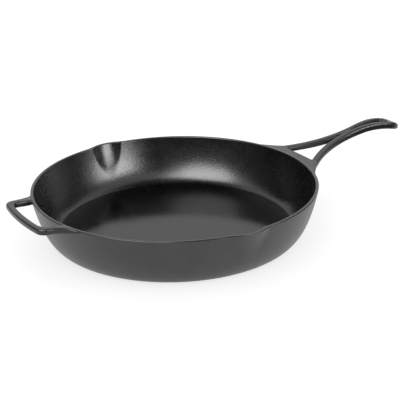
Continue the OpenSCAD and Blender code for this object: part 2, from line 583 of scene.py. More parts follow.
def finished(made: Object, node: str, material: Material) -> None:
    """Lets a piece stand for its node, and gives it its finish.

    Args:
        made: The piece.
        node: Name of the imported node.
        material: Finish of the piece.
    """
    made.data.materials.clear()
    made.data.materials.append(material)
    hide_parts(node)
    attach(made, "root")
    log.info("%s: %d faces", made.name, len(made.data.polygons))


# ---- The pan -----------------------------------------------------------------


@dataclass(frozen=True)
class Spout:
    """A pour spout: a hollow of one radius that leans out from its point to the rim.

    Args:
        side: Side of the pan.
        middle: X of the spout's middle.
        width: Width of the spout at the rim, outside its wall.
        mouth: Width of the hollow at the rim.
        depth: How far it is pushed out at the rim.
        drop: Height from its point up to the rim.
        belly: How far the hollow swells out between its point and the rim.
        inner_blend: Rounding of the crease inside.
        outer_blend: Rounding of the crease outside.
        below: Lowest place at which the belly draws in, as a share of the drop.
    """

    side: Side
    middle: float
    width: float = 37 * MM
    mouth: float = 33 * MM
    depth: float = 4.4 * MM
    drop: float = 31 * MM
    belly: float = 1.2 * MM
    inner_blend: float = 0.9 * MM
    outer_blend: float = 2.0 * MM
    below: float = -0.2

    def reach(self, m: Measures, spot: Vector, width: float, grow: float) -> float:
        """Distance from the pan's axis to the far side of the leaning hollow.

        Args:
            m: Sizes of the pan.
            spot: Place whose direction and height count.
            width: Width of the hollow at the rim.
            grow: How far the hollow is grown, for its outside.

        Returns:
            The distance, or 0 where the hollow isn't met.
        """
        lip = m.rim_radius - m.wall_thickness + self.depth
        foot = m.inner_wall().at(m.height - self.drop).x
        lean = math.atan2(lip - foot, self.drop)
        turn = self.side.value
        radius = ((width / 2) ** 2 + self.depth**2) / (2 * self.depth)
        back, up = radius * math.cos(lean), radius * math.sin(lean)
        centre = Vector((self.middle, turn * (lip - back), m.height + up))
        axis = Vector((0, turn * math.sin(lean), math.cos(lean)))
        outward = Vector((spot.x, spot.y, 0)).normalized()
        start = Vector((0, 0, spot.z)) - centre
        across = outward - axis * outward.dot(axis)
        offset = start - axis * start.dot(axis)
        a, b = across.dot(across), across.dot(offset)
        c = offset.dot(offset) - (radius + grow) ** 2
        inside = b * b - a * c
        share = min(max((spot.z - m.height) / self.drop + 1, self.below), 1)
        swell = 0 if grow else 4 * self.belly * share * (1 - share)
        return (-b + math.sqrt(inside)) / a + swell if inside > 0 else 0

    def push(self, m: Measures, spot: Vector) -> Vector:
        """Where a point of the plain pan lies once the spout is pressed into it.

        Args:
            m: Sizes of the pan.
            spot: Point of the plain pan's wall or rim.

        Returns:
            The point on the pan with its spout.
        """
        inner, outer = m.inner_wall().at(spot.z).x, m.outer_wall().at(spot.z).x
        radius = spot.xy.length
        across = min(max((radius - inner) / (outer - inner), 0), 1)
        hollow = self.reach(m, spot, self.mouth, 0)
        bulge = self.reach(m, spot, self.width, m.wall_thickness)
        inner_push = soft_max(inner, hollow, self.inner_blend) - inner
        outer_push = soft_max(outer, bulge, self.outer_blend) - outer
        push = inner_push * (1 - across) + outer_push * across
        return Vector((spot.x * (1 + push / radius), spot.y * (1 + push / radius), spot.z))


@dataclass(frozen=True)
class Pan:
    """The round pan with its floor, heel, wall, rim and two spouts.

    Args:
        m: Shared sizes.
        crease: Length over which the floor turns up into the wall.
        base_round: Length over which the underside turns up into the wall.
        inner_lip: Rounding of the rim's inner edge.
        outer_lip: Rounding of its outer edge.
        plain_step: Angle between sections round the plain wall, in degrees.
        spout_step: Angle between sections at a spout, in degrees.
        spout_sector: Angle of the finer stretch at a spout, in degrees.
        wall_rows: Rings of faces below the spouts, beside them, and on the rim.
        heel_rows: Rings of faces on the heel.
        turn_steps: Segments of the floor's and the underside's turn into the wall.
        lip_steps: Segments of the rim's inner and outer edge.
        floor_rings: Rings of faces on the floor.
    """

    m: Measures
    crease: float = 3 * MM
    base_round: float = 3 * MM
    inner_lip: float = 1.0 * MM
    outer_lip: float = 1.3 * MM
    plain_step: float = 1.0
    spout_step: float = 0.25
    spout_sector: float = 26.0
    wall_rows: tuple[int, int, int] = (4, 40, 5)
    heel_rows: int = 9
    turn_steps: int = 6
    lip_steps: tuple[int, int] = (5, 6)
    floor_rings: int = 8

    def _rows(self) -> list[float]:
        """Heights of the rings round the wall, from the heel's top to the lip.

        Returns:
            The heights, upwards.
        """
        m = self.m
        top = m.height - self.outer_lip
        levels = [m.heel_height, m.spout_low, m.band_height, top]
        stretches = zip(levels, levels[1:], self.wall_rows)
        rows = [low + (high - low) * i / n for low, high, n in stretches for i in range(n)]
        return rows + [top]

    def outside(self, ease_in: float = 0.0) -> list[Vector]:
        """Section of the pan's outside, from the middle of the rim's top down to the heel.

        Args:
            ease_in: How far the section is drawn in from the true outside.

        Returns:
            Points as radius and height.
        """
        m, wall = self.m, self.m.outer_wall()
        drawn = Vector((-ease_in, 0))
        edge = wall.at(m.height - self.outer_lip)
        corner = Vector((m.rim_radius, m.height))
        lip = bend(corner - Vector((self.outer_lip, 0)), corner, edge, self.lip_steps[1])
        rows = [wall.at(z) for z in reversed(self._rows()[:-1])]
        return [p + drawn for p in lip + rows]

    def _heel(self, wall: Flare, turn: float) -> list[Vector]:
        """Points from the floor or the table round the foot of the wall, to the heel's top.

        Args:
            wall: Inside or outside of the wall.
            turn: Length over which it turns up.

        Returns:
            Points as radius and height.
        """
        rise = (wall.pull - wall.foot).normalized() * turn
        first, top = wall.share_at(wall.foot.y + rise.y), wall.share_at(self.m.heel_height)
        rows = self.heel_rows
        climb = [wall.point(first + (top - first) * i / rows) for i in range(1, rows)]
        start = wall.foot - Vector((turn, 0))
        return bend(start, wall.foot, wall.point(first), self.turn_steps) + climb

    def _section(self) -> list[Vector]:
        """Section of the whole pan: over the floor, up, over the rim and back underneath.

        Returns:
            Points as radius and height.
        """
        m = self.m
        inner = m.inner_wall()
        shares = [i / self.floor_rings for i in range(self.floor_rings)]
        inside = self._heel(inner, self.crease)
        outside = self._heel(m.outer_wall(), self.base_round)
        edge = inner.at(m.height - self.inner_lip)
        least_gap = MM / 10
        up = [inner.at(z) for z in self._rows() if z < edge.y - least_gap]
        lip_end = inner.lip + Vector((self.inner_lip, 0))
        lip = bend(edge, inner.lip, lip_end, self.lip_steps[0])
        floor = [Vector((inside[0].x * s, m.floor_thickness)) for s in shares]
        under = [Vector((m.floor_radius * s, 0)) for s in [1.0, *reversed(shares)]]
        return floor + inside + up + lip + self.outside() + list(reversed(outside)) + under

    def _sweeps(self, middle: float) -> list[tuple[float, int]]:
        """Sweeps of the spin once round, with finer steps at both spouts.

        Args:
            middle: X of the spouts' middle.

        Returns:
            Angle in radians and number of steps of each sweep.
        """
        spout_at = round(math.degrees(math.atan2(self.m.rim_radius, middle)))
        fine = (self.spout_sector, round(self.spout_sector / self.spout_step))
        front = spout_at - self.spout_sector / 2
        back = 360 - 2 * (spout_at + self.spout_sector / 2)
        ends, rest = ((angle, round(angle / self.plain_step)) for angle in (front, back))
        return [(math.radians(angle), steps) for angle, steps in (ends, fine, rest, fine, ends)]

    def cast(self) -> Casting:
        """Builds the whole closed pan.

        Returns:
            The pan, ready to be parted into its pieces.
        """
        m = self.m
        middle = (m.spout_from + m.spout_to) / 2
        bm = bmesh.new()
        line = polyline(bm, [Vector((p.x, 0, p.y)) for p in self._section()])
        spun(bm, line + bm.verts[:], self._sweeps(middle))
        bmesh.ops.remove_doubles(bm, verts=bm.verts, dist=TINY)
        for spout in (Spout(Side.LEFT, middle), Spout(Side.RIGHT, middle)):
            for vert in bm.verts:
                across = vert.co.y * spout.side.value
                if across > m.floor_radius / 2 and vert.co.z > m.heel_height:
                    vert.co = spout.push(m, vert.co)
        bmesh.ops.recalc_face_normals(bm, faces=bm.faces)
        return Casting(bm, edge_radius=self.outer_lip, vessel=True)

    def build(self, floor_iron: Material, wall_iron: Material) -> None:
        """Builds and dresses the floor, heel, wall, rim and spouts.

        Args:
            floor_iron: Finish of the cooking floor.
            wall_iron: Finish of all the rest.
        """
        m = self.m
        whole = self.cast()
        middle = m.outer_wall().at((m.spout_low + m.band_height) / 2).x
        first, last = math.acos(m.spout_to / middle), math.acos(m.spout_from / middle)

        def node_at(p: Vector) -> str:
            """Name of the node at a place on the pan.

            Args:
                p: The place.

            Returns:
                The name.
            """
            if p.xy.length < m.floor_radius:
                return "cooking_floor"
            if p.z > m.band_height:
                return "rim"
            if p.z < m.heel_height:
                return "heel"
            at_spout = first < math.atan2(abs(p.y), p.x) < last and p.z > m.spout_low
            side = Side.LEFT if p.y < 0 else Side.RIGHT
            return f"pour_spout_{side.name.lower()}" if at_spout else "side_wall"

        finished(whole.sheared("cooking_floor", node_at), "cooking_floor", floor_iron)
        for node in ("heel", "side_wall", "rim", "pour_spout_left", "pour_spout_right"):
            finished(whole.sheared(node, node_at), node, wall_iron)
        whole.free()


# ---- The handles -------------------------------------------------------------

AHEAD, ASIDE = Vector((1, 0, 0)), Vector((0, 1, 0))


@dataclass(frozen=True)
class Mould:
    """Pours overlapping blocks into one body with softened corners, cut to the outside of the pan.

    Args:
        pan: The pan that the body grows out of.
        middle: Direction of the body from the pan's axis, in radians.
        spread: Angle on each side of it over which the body meets the pan.
        grain: Spacing of the poured mesh.
        rounds: How often the poured mesh is softened.
        softness: How far each round pulls a point towards its neighbours.
        inset: How far the pan's stand-in lies inside the true pan.
        proud: How far outside the true pan the body ends.
        joined_within: Largest gap to the pan of a face that joins it.
        core_depth: Thickness of the pan's stand-in.
        core_over: Angle by which the stand-in passes the body on each side.
        cut_depth: Thickness of the ring that is cut away.
        cut_over: Angle by which that ring passes the body on each side.
    """

    pan: Pan
    middle: float
    spread: float
    grain: float = 0.65 * MM
    rounds: int = 5
    softness: float = 0.5
    inset: float = 0.15 * MM
    proud: float = 0.03 * MM
    joined_within: float = 0.09 * MM
    core_depth: float = 30 * MM
    core_over: float = math.radians(6)
    cut_depth: float = 45 * MM
    cut_over: float = math.radians(12)

    def _ring(self, outside: list[Vector], depth: float, over: float) -> Mesh:
        """A stretch of ring that stands in for the pan's wall.

        Args:
            outside: Section of its outer side.
            depth: Thickness of the ring.
            over: Angle by which it passes the body on each side.

        Returns:
            A closed mesh.
        """
        back = self.pan.m.rim_radius - depth
        section = outside + [Vector((back, outside[-1].y)), Vector((back, outside[0].y))]
        bm = bmesh.new()
        half = self.spread + over
        start = Matrix.Rotation(self.middle - half, 4, "Z")
        face = bm.faces.new([bm.verts.new(start @ Vector((p.x, 0, p.y))) for p in section])
        spun(bm, [face], [(2 * half, round(math.degrees(2 * half)))])
        bmesh.ops.remove_doubles(bm, verts=bm.verts, dist=TINY)
        bmesh.ops.recalc_face_normals(bm, faces=bm.faces)
        return bm

    def _core(self) -> Mesh:
        """The stand-in that gives the poured body its fillets.

        Returns:
            A closed mesh.
        """
        drop = Vector((0, self.inset))
        outside = [p - drop for p in self.pan.outside(self.inset)]
        return self._ring(outside, self.core_depth, self.core_over)

    def _keep_out(self) -> Mesh:
        """The space of the pan, and straight above its rim.

        Returns:
            A closed mesh.
        """
        m = self.pan.m
        grow = Vector((0, self.proud))
        outside = [p + grow for p in self.pan.outside(-self.proud)]
        tall = 2 * m.height
        above = [Vector((m.rim_radius, tall)), Vector((m.rim_radius, m.height + self.proud))]
        below = Vector((m.floor_radius, 0))
        return self._ring(above + outside + [below], self.cut_depth, self.cut_over)

    def pour(self, block: Mesh) -> Mesh:
        """Pours a block and the stand-in for the pan as one, softens it and cuts the pan out.

        Args:
            block: Closed block of the handle, used up.

        Returns:
            The closed mesh of the handle alone.
        """
        core = as_object(self._core(), "core")
        block.from_mesh(core.data)
        discard(core)
        keep_out = as_object(self._keep_out(), "keep_out")
        made = as_object(block, "handle")
        pour = made.modifiers.new("pour", "REMESH")
        pour.mode, pour.voxel_size = "VOXEL", self.grain
        soften = made.modifiers.new("soften", "SMOOTH")
        soften.factor, soften.iterations = self.softness, self.rounds
        take_away(made, keep_out)
        bm = settled(made)
        discard(keep_out)
        keep_largest(bm)
        bmesh.ops.recalc_face_normals(bm, faces=bm.faces)
        return bm

    def joins(self, spot: Vector) -> bool:
        """True for a place on the surface where the body meets the pan.

        Args:
            spot: The place.

        Returns:
            True if it joins the pan.
        """
        m = self.pan.m
        height = min(max(spot.z, m.heel_height), m.height)
        gap = spot.xy.length - m.outer_wall().at(height).x
        over_rim = spot.z > m.height and gap < m.wall_thickness
        return gap < self.joined_within or over_rim


def keep_largest(bm: Mesh) -> None:
    """Drops all but the largest connected part of a mesh.

    Args:
        bm: Mesh to change.
    """
    parts = connected(set(bm.verts), lambda vert: [e.other_vert(vert) for e in vert.link_edges])
    largest = set(max(parts, key=len))
    bmesh.ops.delete(bm, geom=[vert for vert in bm.verts if vert not in largest], context="VERTS")


def slit(bm: Mesh, low: float, high: float, step: float) -> None:
    """Cuts a mesh across from one X to another in steps, so that it can follow a curve."""
    for i in range(int((high - low) / step) + 1):
        cut_across(bm, Vector((low + i * step, 0, 0)), AHEAD)


def take_away(made: Object, tool: Object) -> None:
    """Has one closed body cut out of another, once that one is settled."""
    cut = made.modifiers.new("cut", "BOOLEAN")
    cut.operation, cut.solver, cut.object = "DIFFERENCE", "MANIFOLD", tool


def carved(block: Mesh, outlines: list, depth: float) -> Mesh:
    """Cuts upright holes through a block.

    Args:
        block: Closed block, used up.
        outlines: Outline of each hole.
        depth: Height of the block below Z = 0.

    Returns:
        The block with its holes.
    """
    made = as_object(block, "block")
    holes = [as_object(prism(outline, -2 * depth, depth), "hole") for outline in outlines]
    for hole in holes:
        take_away(made, hole)
    bm = settled(made)
    for hole in holes:
        discard(hole)
    return bm


@dataclass(frozen=True)
class Profile:
    """How the section of a handle is made: a block with crowned faces, cut across to curve.

    Args:
        top: How the top is crowned, as steps inwards and upwards.
        under: How the underside is crowned.
        slice_length: Distance between the cuts.
    """

    top: Steps
    under: Steps
    slice_length: float

    def block(
        self, outline: list[Vector], height: float, holes: list, start: float, end: float
    ) -> Mesh:
        """The block over an outline, with its top just under Z = 0.

        Args:
            outline: Its outline from above.
            height: Its height.
            holes: Outline of each upright hole.
            start: X of the first cut.
            end: X that the cuts stop at.

        Returns:
            The closed mesh.
        """
        top, under = (sum(rise for _, rise in steps) for steps in (self.top, self.under))
        made = prism(outline, under - height, -top - SKIN)
        if holes:
            made = carved(made, holes, height)
        crown(made, 1, self.top)
        crown(made, -1, self.under)
        slit(made, start, end, self.slice_length)
        return made


def poured(pan: Pan, middle: float, spread: float, block: Mesh) -> Casting:
    """Casts a handle onto the pan, along a middle and with a spread on each side, in radians."""
    mould = Mould(pan, middle, spread)
    return Casting(mould.pour(block), HANDLE_EDGE, mould.joins)


def part_handle(whole: Casting, parts: dict[str, Cuts], iron: Material) -> None:
    """Parts a handle into its pieces, dressed in one finish.

    Args:
        whole: The whole handle, used up.
        parts: Cuts of each piece, by the name of its node.
        iron: Finish of the handle.
    """
    for node, cuts in parts.items():
        finished(whole.sliced(node, cuts), node, iron)
    whole.free()


@dataclass(frozen=True)
class MainHandle:
    """The forked main handle: web, two arms round an opening, neck, and a grip with its slot.

    Args:
        pan: The pan that it grows out of.
        web_z: Height of the web's top.
        opening_x: X at which the opening starts.
        opening_tip: X at which the two arms meet.
        grip_x: X at which the grip starts.
        tip_x: X of the tip.
        grip_width: Greatest width of the grip.
        root_angle: Angle each side of the handle at which its roots leave the rim.
        arm_width: Width of an arm.
        arm_height: Height of the arms and web.
        neck_width: Width of the neck.
        grip_height: Height of the grip.
        slope: Upward slope of the handle.
        grip_bend: Radius of the grip's bend downwards.
        grip_length: Length of that bend.
        slot_inset: Plain grip before the slot.
        slot_length: Length of the slot.
        slot_width: Width of its round end.
        nose_length: How far from the tip the grip starts to thin.
        nose_taper: Share of its height that it loses at the tip.
        web_past: How far the web runs on past the start of the opening.
        outline_steps: Segments of the root, the neck, and the grip's end.
        hole_steps: Segments of one side of the opening, and of the slot's round end.
        profile: How its faces are crowned.
    """

    pan: Pan
    web_z: float
    opening_x: float
    opening_tip: float
    grip_x: float
    tip_x: float
    grip_width: float
    root_angle: float = math.radians(27)
    arm_width: float = 9 * MM
    arm_height: float = 5.4 * MM
    neck_width: float = 15.5 * MM
    grip_height: float = 8.0 * MM
    slope: float = math.radians(11.6)
    grip_bend: float = 105 * MM
    grip_length: float = 61 * MM
    slot_inset: float = 3 * MM
    slot_length: float = 49 * MM
    slot_width: float = 11 * MM
    nose_length: float = 13 * MM
    nose_taper: float = 0.5
    web_past: float = 0.6 * MM
    outline_steps: tuple[int, int, int] = (40, 20, 20)
    hole_steps: tuple[int, int] = (32, 24)
    profile: Profile = Profile(
        top=((0.2 * MM, 0.7 * MM), (0.7 * MM, 0.6 * MM), (0.9 * MM, 0.2 * MM)),
        under=((0.4 * MM, 0.8 * MM), (0.9 * MM, 0.4 * MM)),
        slice_length=2 * MM,
    )

    @classmethod
    def from_frame(cls, pan: Pan) -> "MainHandle":
        """Reads the handle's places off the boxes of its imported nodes.

        Args:
            pan: The pan that it grows out of.

        Returns:
            The handle.
        """
        names = ("web", "arm_left", "neck", "grip")
        web, arm, neck, grip = (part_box(f"handle_{name}") for name in names)
        width = grip[1].y - grip[0].y
        return cls(pan, web[1].z, web[1].x, arm[1].x, neck[1].x, grip[1].x, width)

    def _root_radius(self) -> float:
        """Radius of the flared roots."""
        reach = self.pan.m.rim_radius * math.sin(self.root_angle) - self.neck_width / 2
        return reach / (1 - math.sin(self.root_angle))

    def _root(self) -> Vector:
        """Centre of the flared root on the +Y side.

        Returns:
            The centre, seen from above.
        """
        radius = self._root_radius()
        across = (self.pan.m.rim_radius + radius) * math.cos(self.root_angle)
        return Vector((across, self.neck_width / 2 + radius))

    def _widest(self) -> float:
        """X of the grip's widest place."""
        return self.grip_x + self.slot_inset + self.slot_length - self.slot_width / 4

    def _outline(self) -> list[Vector]:
        """Outline of the whole handle from above.

        Returns:
            Points, seen from above.
        """
        m, root, widest = self.pan.m, self._root(), self._widest()
        inside = m.floor_radius
        side = [Vector((inside, 0)), Vector((inside, inside * math.sin(self.root_angle)))]
        first, last = math.pi + self.root_angle, 1.5 * math.pi
        root_steps, neck_steps, end_steps = self.outline_steps
        side += arc(root, self._root_radius(), first, last, root_steps)
        half, neck_half = self.grip_width / 2, self.neck_width / 2
        for t in (i / neck_steps for i in range(1, neck_steps + 1)):
            across = neck_half + (half - neck_half) * ease(t)
            side.append(Vector((root.x + (widest - root.x) * t, across)))
        for turn in (i / end_steps * math.pi / 2 for i in range(1, end_steps + 1)):
            along = (self.tip_x - widest) * math.sin(turn)
            side.append(Vector((widest + along, half * math.cos(turn))))
        return side + mirrored(side[1:-1])

    def _opening(self) -> list[Vector]:
        """Outline of the opening between the arms.

        Returns:
            Points, seen from above.
        """
        root = self._root()
        radius = self._root_radius() + self.arm_width
        first = math.pi + math.acos((root.x - self.opening_x) / radius)
        last = math.pi + math.asin(root.y / radius)
        side = arc(root, radius, first, last, self.hole_steps[0])
        side[-1].y = 0
        return side + mirrored(side[:-1])

    def _slot(self) -> list[Vector]:
        """Outline of the hanging slot: a teardrop with its point towards the pan.

        Returns:
            Points, seen from above.
        """
        radius = self.slot_width / 2
        point = self.grip_x + self.slot_inset
        middle = point + self.slot_length - radius
        turn = math.acos(radius / (middle - point))
        last = math.pi - turn
        round_end = arc(Vector((middle, 0)), radius, -last, last, self.hole_steps[1])
        return [Vector((point, 0))] + round_end

    def _lift(self, x: float) -> tuple[float, float]:
        """Height of the top face, and thickness below it, at a place along the handle.

        Args:
            x: How far out the place lies.

        Returns:
            The height and the thickness.
        """
        bend_x = self.tip_x - self.grip_length
        top = self.web_z + max(min(x, bend_x) - self.opening_x, 0) * math.tan(self.slope)
        if x <= self.opening_x:
            return top, self.arm_height
        end_z = self.web_z + (bend_x - self.opening_x) * math.tan(self.slope)
        inwards = Vector((math.sin(self.slope), -math.cos(self.slope)))
        middle = Vector((bend_x, end_z)) + self.grip_bend * inwards
        low = self.grip_bend - self.grip_height
        start_x = middle.x - low * math.sin(self.slope)
        if x > bend_x:
            top = middle.y + math.sqrt(self.grip_bend**2 - (x - middle.x) ** 2)
        if x > start_x:
            return top, top - middle.y - math.sqrt(low**2 - (x - middle.x) ** 2)
        start_z = middle.y + low * math.cos(self.slope)
        floor_z = self.web_z - self.arm_height
        share = (x - self.opening_x) / (start_x - self.opening_x)
        return top, top - floor_z - (start_z - floor_z) * share

    def cast(self) -> Casting:
        """Builds the whole closed handle.

        Returns:
            The handle, ready to be parted into its pieces.
        """
        holes = [self._opening(), self._slot()]
        height = self.arm_height
        block = self.profile.block(self._outline(), height, holes, self.opening_x, self.tip_x)
        middle = -height / 2
        for vert in block.verts:
            top, thickness = self._lift(vert.co.x)
            nose = max(vert.co.x - self.tip_x + self.nose_length, 0) / self.nose_length
            level = middle + (vert.co.z - middle) * (1 - self.nose_taper * nose**2)
            vert.co.z = top + level / height * thickness
        return poured(self.pan, 0.0, self.root_angle, block)

    def build(self, iron: Material) -> None:
        """Builds and dresses the web, arms, neck and grip.

        Args:
            iron: Finish of the handle.
        """
        past_web = Vector((self.opening_x + self.web_past, 0, 0))
        past_arms, past_neck = Vector((self.opening_tip, 0, 0)), Vector((self.grip_x, 0, 0))
        arms = [(past_web, -AHEAD), (past_arms, AHEAD)]
        parts = {
            "handle_web": [(past_web, AHEAD)],
            "handle_arm_left": arms + [(Vector(), ASIDE)],
            "handle_arm_right": arms + [(Vector(), -ASIDE)],
            "handle_neck": [(past_arms, -AHEAD), (past_neck, AHEAD)],
            "handle_grip": [(past_neck, -AHEAD)],
        }
        part_handle(self.cast(), parts, iron)


@dataclass(frozen=True)
class AssistHandle:
    """The short loop handle: two arms off the rim and a bowed bar with its corners.

    Args:
        pan: The pan that it grows out of.
        bar_x: X of the bar's outermost line.
        top_z: Height of the bar's top.
        width: Width across its corners.
        root_drop: Drop of its top below the rim, where it leaves the pan.
        bar_width: Thickness seen from above.
        bar_height: Thickness seen from the side.
        corner: Inner radius of its corners.
        bow: How far the bar bows outwards.
        root_angle: Angle each side at which the arms leave the rim.
        root_taper: Angle over which the outside of an arm sinks into the wall.
        root_height: Share of its height that an arm keeps where it ends in the wall.
        root_hold: Share of the reach over which an arm keeps its first direction.
        arm_gain: How much thicker the arms are than the bar, on their inside.
        root_gain: How much thicker still they are where they leave the rim.
        inner_corner: Radius of the corners of the opening.
        outline_steps: Segments of each arm, each corner, and the bar.
        knee_share: Share of the reach over which the loop climbs to its height.
        profile: How its faces are crowned.
    """

    pan: Pan
    bar_x: float
    top_z: float
    width: float
    root_drop: float = 0.8 * MM
    bar_width: float = 7 * MM
    bar_height: float = 6.2 * MM
    corner: float = 2.5 * MM
    bow: float = 2.6 * MM
    root_angle: float = math.radians(22.5)
    root_taper: float = math.radians(4.5)
    root_height: float = 0.3
    root_hold: float = 0.44
    arm_gain: float = 1.6 * MM
    root_gain: float = 4 * MM
    inner_corner: float = 5.5 * MM
    outline_steps: tuple[int, int, int] = (24, 12, 24)
    knee_share: float = 1 / 3
    profile: Profile = Profile(
        top=((0.2 * MM, 0.7 * MM), (0.6 * MM, 0.5 * MM), (0.8 * MM, 0.2 * MM)),
        under=((0.4 * MM, 0.8 * MM), (0.8 * MM, 0.4 * MM)),
        slice_length=1.5 * MM,
    )

    @classmethod
    def from_frame(cls, pan: Pan) -> "AssistHandle":
        """Reads the handle's places off the box of its packed bar."""
        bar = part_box("assist_bar")
        return cls(pan, bar[0].x, bar[1].z, bar[1].y - bar[0].y)

    def _corner(self) -> tuple[Vector, float, float]:
        """Centre of the +Y corner, radius of the bow, and the angle that the bow turns through.

        Returns:
            The centre, the radius and the angle.
        """
        outer = self.corner + self.bar_width
        across = self.width / 2 - outer
        bow = (across**2 + self.bow**2) / (2 * self.bow)
        turn = math.asin(across / (bow - outer))
        return Vector((self.bar_x + bow - (bow - outer) * math.cos(turn), across)), bow, turn

    def _edge(self, offset: float) -> list[Vector]:
        """One edge of the loop from above, to one side of its middle line.

        Args:
            offset: How far outside the middle line the edge lies.

        Returns:
            Its points, from the +Y root round the bar to the -Y root.
        """
        rim = self.pan.m.rim_radius
        spot, bow, turn = self._corner()
        angle, half = self.root_angle, self.bar_width / 2
        pull = self.root_hold * -(self.bar_x + rim)
        root = (rim - half) * Vector((-math.cos(angle), math.sin(angle)))
        tangent = -Vector((math.sin(angle), math.cos(angle)))
        knee = spot + Vector((0, self.corner + half))
        pulls = [root, root + pull * tangent, knee + Vector((pull, 0)), knee]
        inner = offset < 0
        arm_steps, corner_steps, bar_steps = self.outline_steps
        arm = []
        for t in (i / arm_steps for i in range(arm_steps + 1)):
            near, far = bend_point(*pulls[:3], t), bend_point(*pulls[1:], t)
            way = (far - near).normalized()
            inset = offset - inner * (self.arm_gain + self.root_gain * (1 - t))
            arm.append(near.lerp(far, t) + inset * Vector((way.y, -way.x)))
        if inner:
            bend_radius = self.inner_corner
            wider = bend_radius - self.corner
            spot = spot + Vector((wider, -wider - self.arm_gain))
            arm = [p for p in arm if p.x > spot.x]
        else:
            bend_radius = self.corner + self.bar_width
            buried = angle + self.root_taper
            sunk = (rim - self.bar_width) * Vector((-math.cos(buried), math.sin(buried)))
            arm.insert(0, sunk)
        first, last = math.pi - turn, math.pi + turn
        side = arm + arc(spot, bend_radius, math.pi / 2, first, corner_steps)[1:]
        bar = arc(Vector((self.bar_x + bow, 0)), bow - half + offset, first, last, bar_steps)
        return side + [p for p in bar[1:-1] if abs(p.y) < side[-1].y] + mirrored(side)

    def cast(self) -> Casting:
        """Builds the whole closed loop.

        Returns:
            The loop, ready to be parted into its pieces.
        """
        m, half = self.pan.m, self.bar_width / 2
        outline = self._edge(half) + list(reversed(self._edge(-half)))
        block = self.profile.block(outline, self.bar_height, [], self.bar_x, -m.floor_radius)
        root = m.rim_radius * math.cos(self.root_angle)
        buried = m.rim_radius * math.cos(self.root_angle + self.root_taper)
        knee = root + (-self._corner()[0].x - root) * self.knee_share
        start = Vector((m.height - self.root_drop, root))
        past_bar = -self.bar_x + MM
        climb = Flare(start, Vector((self.top_z, knee)), Vector((self.top_z, past_bar)))
        for vert in block.verts:
            share = min(max((-vert.co.x - buried) / (knee - buried), 0), 1)
            height = self.root_height + (1 - self.root_height) * ease(share)
            vert.co.z = vert.co.z * height + climb.at(max(-vert.co.x, root)).x
        return poured(self.pan, math.pi, self.root_angle, block)

    def build(self, iron: Material) -> None:
        """Builds and dresses the two arms and the bar.

        Args:
            iron: Finish of the handle.
        """
        corner = Vector((self._corner()[0].x, 0, 0))
        parts = {
            "assist_arm_left": [(corner, -AHEAD), (Vector(), ASIDE)],
            "assist_arm_right": [(corner, -AHEAD), (Vector(), -ASIDE)],
            "assist_bar": [(corner, AHEAD)],
        }
        part_handle(self.cast(), parts, iron)


# ---- Finishes ----------------------------------------------------------------


class Shading:
    """A material or node group in the making."""

    def __init__(self, tree: Tree) -> None:
        """Starts on an empty tree of nodes."""
        self.tree = tree
        tree.nodes.clear()

    def put(self, socket: Socket, value: object) -> None:
        """Links a socket to an input, or sets the input to a value.

        Args:
            socket: The input.
            value: Value or socket.
        """
        if isinstance(value, Socket):
            self.tree.links.new(value, socket)
        else:
            socket.default_value = value

    def add(self, kind: str, inputs: dict | None = None, **settings: object) -> Node:
        """Adds a node.

        Args:
            kind: Type of the node.
            inputs: Value or linked socket of each of its inputs, by name or number.
            **settings: Its other settings.

        Returns:
            The node.
        """
        node = self.tree.nodes.new(kind)
        for key, value in settings.items():
            setattr(node, key, value)
        for key, value in (inputs or {}).items():
            self.put(node.inputs[key], value)
        return node

    def math(self, operation: str, a: object, b: object, clamp: bool = False) -> Socket:
        """Result of a sum on two values or sockets."""
        settings = {"operation": operation, "use_clamp": clamp}
        return self.add("ShaderNodeMath", {0: a, 1: b}, **settings).outputs[0]

    def ramp(
        self, value: object, low: float, high: float, to_low: float = 0.0, to_high: float = 1.0
    ) -> Socket:
        """A value mapped from one range to another with soft ends.

        Args:
            value: Value or socket.
            low: Start of its range.
            high: End of its range.
            to_low: Result at the start.
            to_high: Result at the end.

        Returns:
            The mapped value.
        """
        inputs = {"Value": value, "From Min": low, "From Max": high}
        inputs |= {"To Min": to_low, "To Max": to_high}
        return self.add("ShaderNodeMapRange", inputs, interpolation_type="SMOOTHSTEP").outputs[0]

    def noise(
        self, place: Socket, scale: object, detail: float, roughness: float, bent: float = 0.0
    ) -> Socket:
        """Value of a noise pattern.

        Args:
            place: Place in the pattern.
            scale: Its scale.
            detail: How many finer layers it has.
            roughness: How strong they are.
            bent: How far the pattern is distorted.

        Returns:
            The value, round 0.5.
        """
        inputs = {"Vector": place, "Scale": scale, "Detail": detail}
        inputs |= {"Roughness": roughness, "Distortion": bent}
        return self.add("ShaderNodeTexNoise", inputs).outputs[0]

    def blend(self, share: object, a: object, b: object) -> Socket:
        """Colour between two colours.

        Args:
            share: Value or socket, 0 for the first colour and 1 for the second.
            a: First colour.
            b: Second colour.

        Returns:
            The colour.
        """
        node = self.add("ShaderNodeMix", data_type="RGBA")
        for key, value in (("Factor", share), ("A", a), ("B", b)):
            self.put(next(s for s in node.inputs if s.name == key and s.enabled), value)
        return next(s for s in node.outputs if s.enabled)

    def attribute(self, name: str) -> Socket:
        """A value that the mesh holds at its vertices."""
        return self.add("ShaderNodeAttribute", attribute_name=name).outputs["Fac"]


